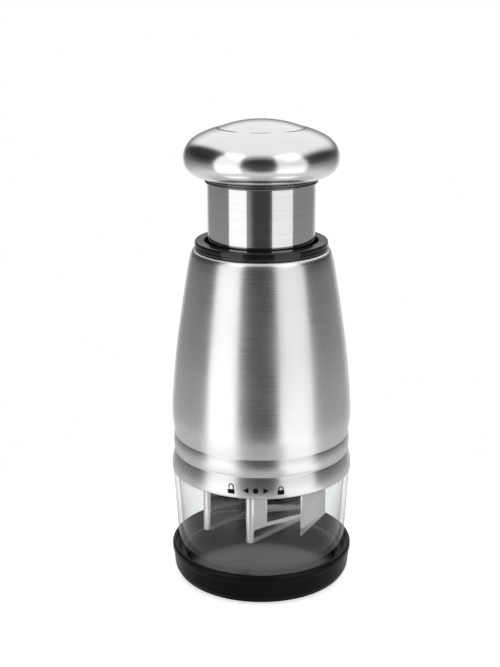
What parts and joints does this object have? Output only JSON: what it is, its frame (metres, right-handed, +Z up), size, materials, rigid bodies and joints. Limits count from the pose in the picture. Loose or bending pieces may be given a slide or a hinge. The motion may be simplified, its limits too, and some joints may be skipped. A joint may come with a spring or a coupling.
{
  "type": "plunger food chopper",
  "caption": "Hand chopper: pressing the mushroom knob drives a zigzag steel blade down on the board inside a clear chamber, and a spring lifts it again.",
  "frame": {"origin": "middle of the face that the base cup stands on", "axes": "+Z up along the plunger's axis, -Y towards the printed lock marks"},
  "size_m": [0.093, 0.093, 0.2341],
  "materials": {
    "base_cup": "glossy black",
    "chopping_board": "glossy black",
    "chamber": "clear",
    "housing_shell": "fine brushed round the body",
    "housing_liner": "moulded black",
    "inner_frame": "moulded black",
    "deck_screws": "zinc plated",
    "guide_pins": "ground",
    "collar_ring": "glossy black",
    "guide_bush": "natural acetal",
    "bush_screws": "zinc plated",
    "buffer_ring": "soft black",
    "spring_washer": "plain",
    "return_spring": "drawn wire",
    "snap_ring": "plain",
    "plunger_tube": "polished",
    "tube_plug": "moulded black",
    "plunger_rod": "ground",
    "cross_pin": "ground",
    "knob_core": "moulded black",
    "knob_screw": "zinc plated",
    "knob_shell": "polished",
    "knob_cap": "polished",
    "knob_ring": "polished",
    "thrust_washer": "plain",
    "blade_screw": "zinc plated",
    "zigzag_blade": "polished",
    "blade_carrier": "moulded black",
    "wiper_disc": "moulded black"
  },
  "bodies": {
    "base": {"base_cup": "base_cup", "chopping_board": "chopping_board"},
    "clear_chamber": {"chamber": "chamber"},
    "housing": {"housing_shell": "housing_shell", "housing_liner": "housing_liner", "inner_frame": "inner_frame", "deck_screws": "deck_screws", "guide_pins": "guide_pins", "collar_ring": "collar_ring", "guide_bush": "guide_bush", "bush_screws": "bush_screws", "buffer_ring": "buffer_ring", "spring_washer": "spring_washer", "return_spring": "return_spring", "snap_ring": "snap_ring"},
    "plunger": {"plunger_tube": "plunger_tube", "tube_plug": "tube_plug", "plunger_rod": "plunger_rod", "cross_pin": "cross_pin", "knob_core": "knob_core", "knob_screw": "knob_screw", "knob_shell": "knob_shell", "knob_cap": "knob_cap", "knob_ring": "knob_ring", "thrust_washer": "thrust_washer", "blade_screw": "blade_screw"},
    "blade_set": {"zigzag_blade": "zigzag_blade", "blade_carrier": "blade_carrier"},
    "wiper": {"wiper_disc": "wiper_disc"}
  },
  "joints": [
    {"name": "cup_lift", "type": "slide", "parent": "base", "child": "clear_chamber", "axis": [0, 0, 1], "range_m": [0, 0.04]},
    {"name": "lock_twist", "type": "hinge", "parent": "clear_chamber", "child": "housing", "pos_m": [0, 0, 0.06], "axis": [0, 0, -1], "range_deg": [0, 20]},
    {"name": "plunge", "type": "slide", "parent": "housing", "child": "plunger", "axis": [0, 0, -1], "range_m": [0, 0.0246], "stiffness_N_per_m": 470, "springref_m": -0.0207, "deforming": ["return_spring"]},
    {"name": "blade_turn", "type": "hinge", "parent": "plunger", "child": "blade_set", "pos_m": [0, 0, 0.087], "axis": [0, 0, 1], "range_deg": [0, 24.9]},
    {"name": "wiper_turn", "type": "hinge", "parent": "housing", "child": "wiper", "pos_m": [0, 0, 0.058], "axis": [0, 0, 1], "range_deg": [0, 24.9]}
  ],
  "couplings": [
    {"joint": "blade_turn", "follows": "plunge", "rad_per_m": 17.66},
    {"joint": "wiper_turn", "follows": "plunge", "rad_per_m": 17.66}
  ]
}
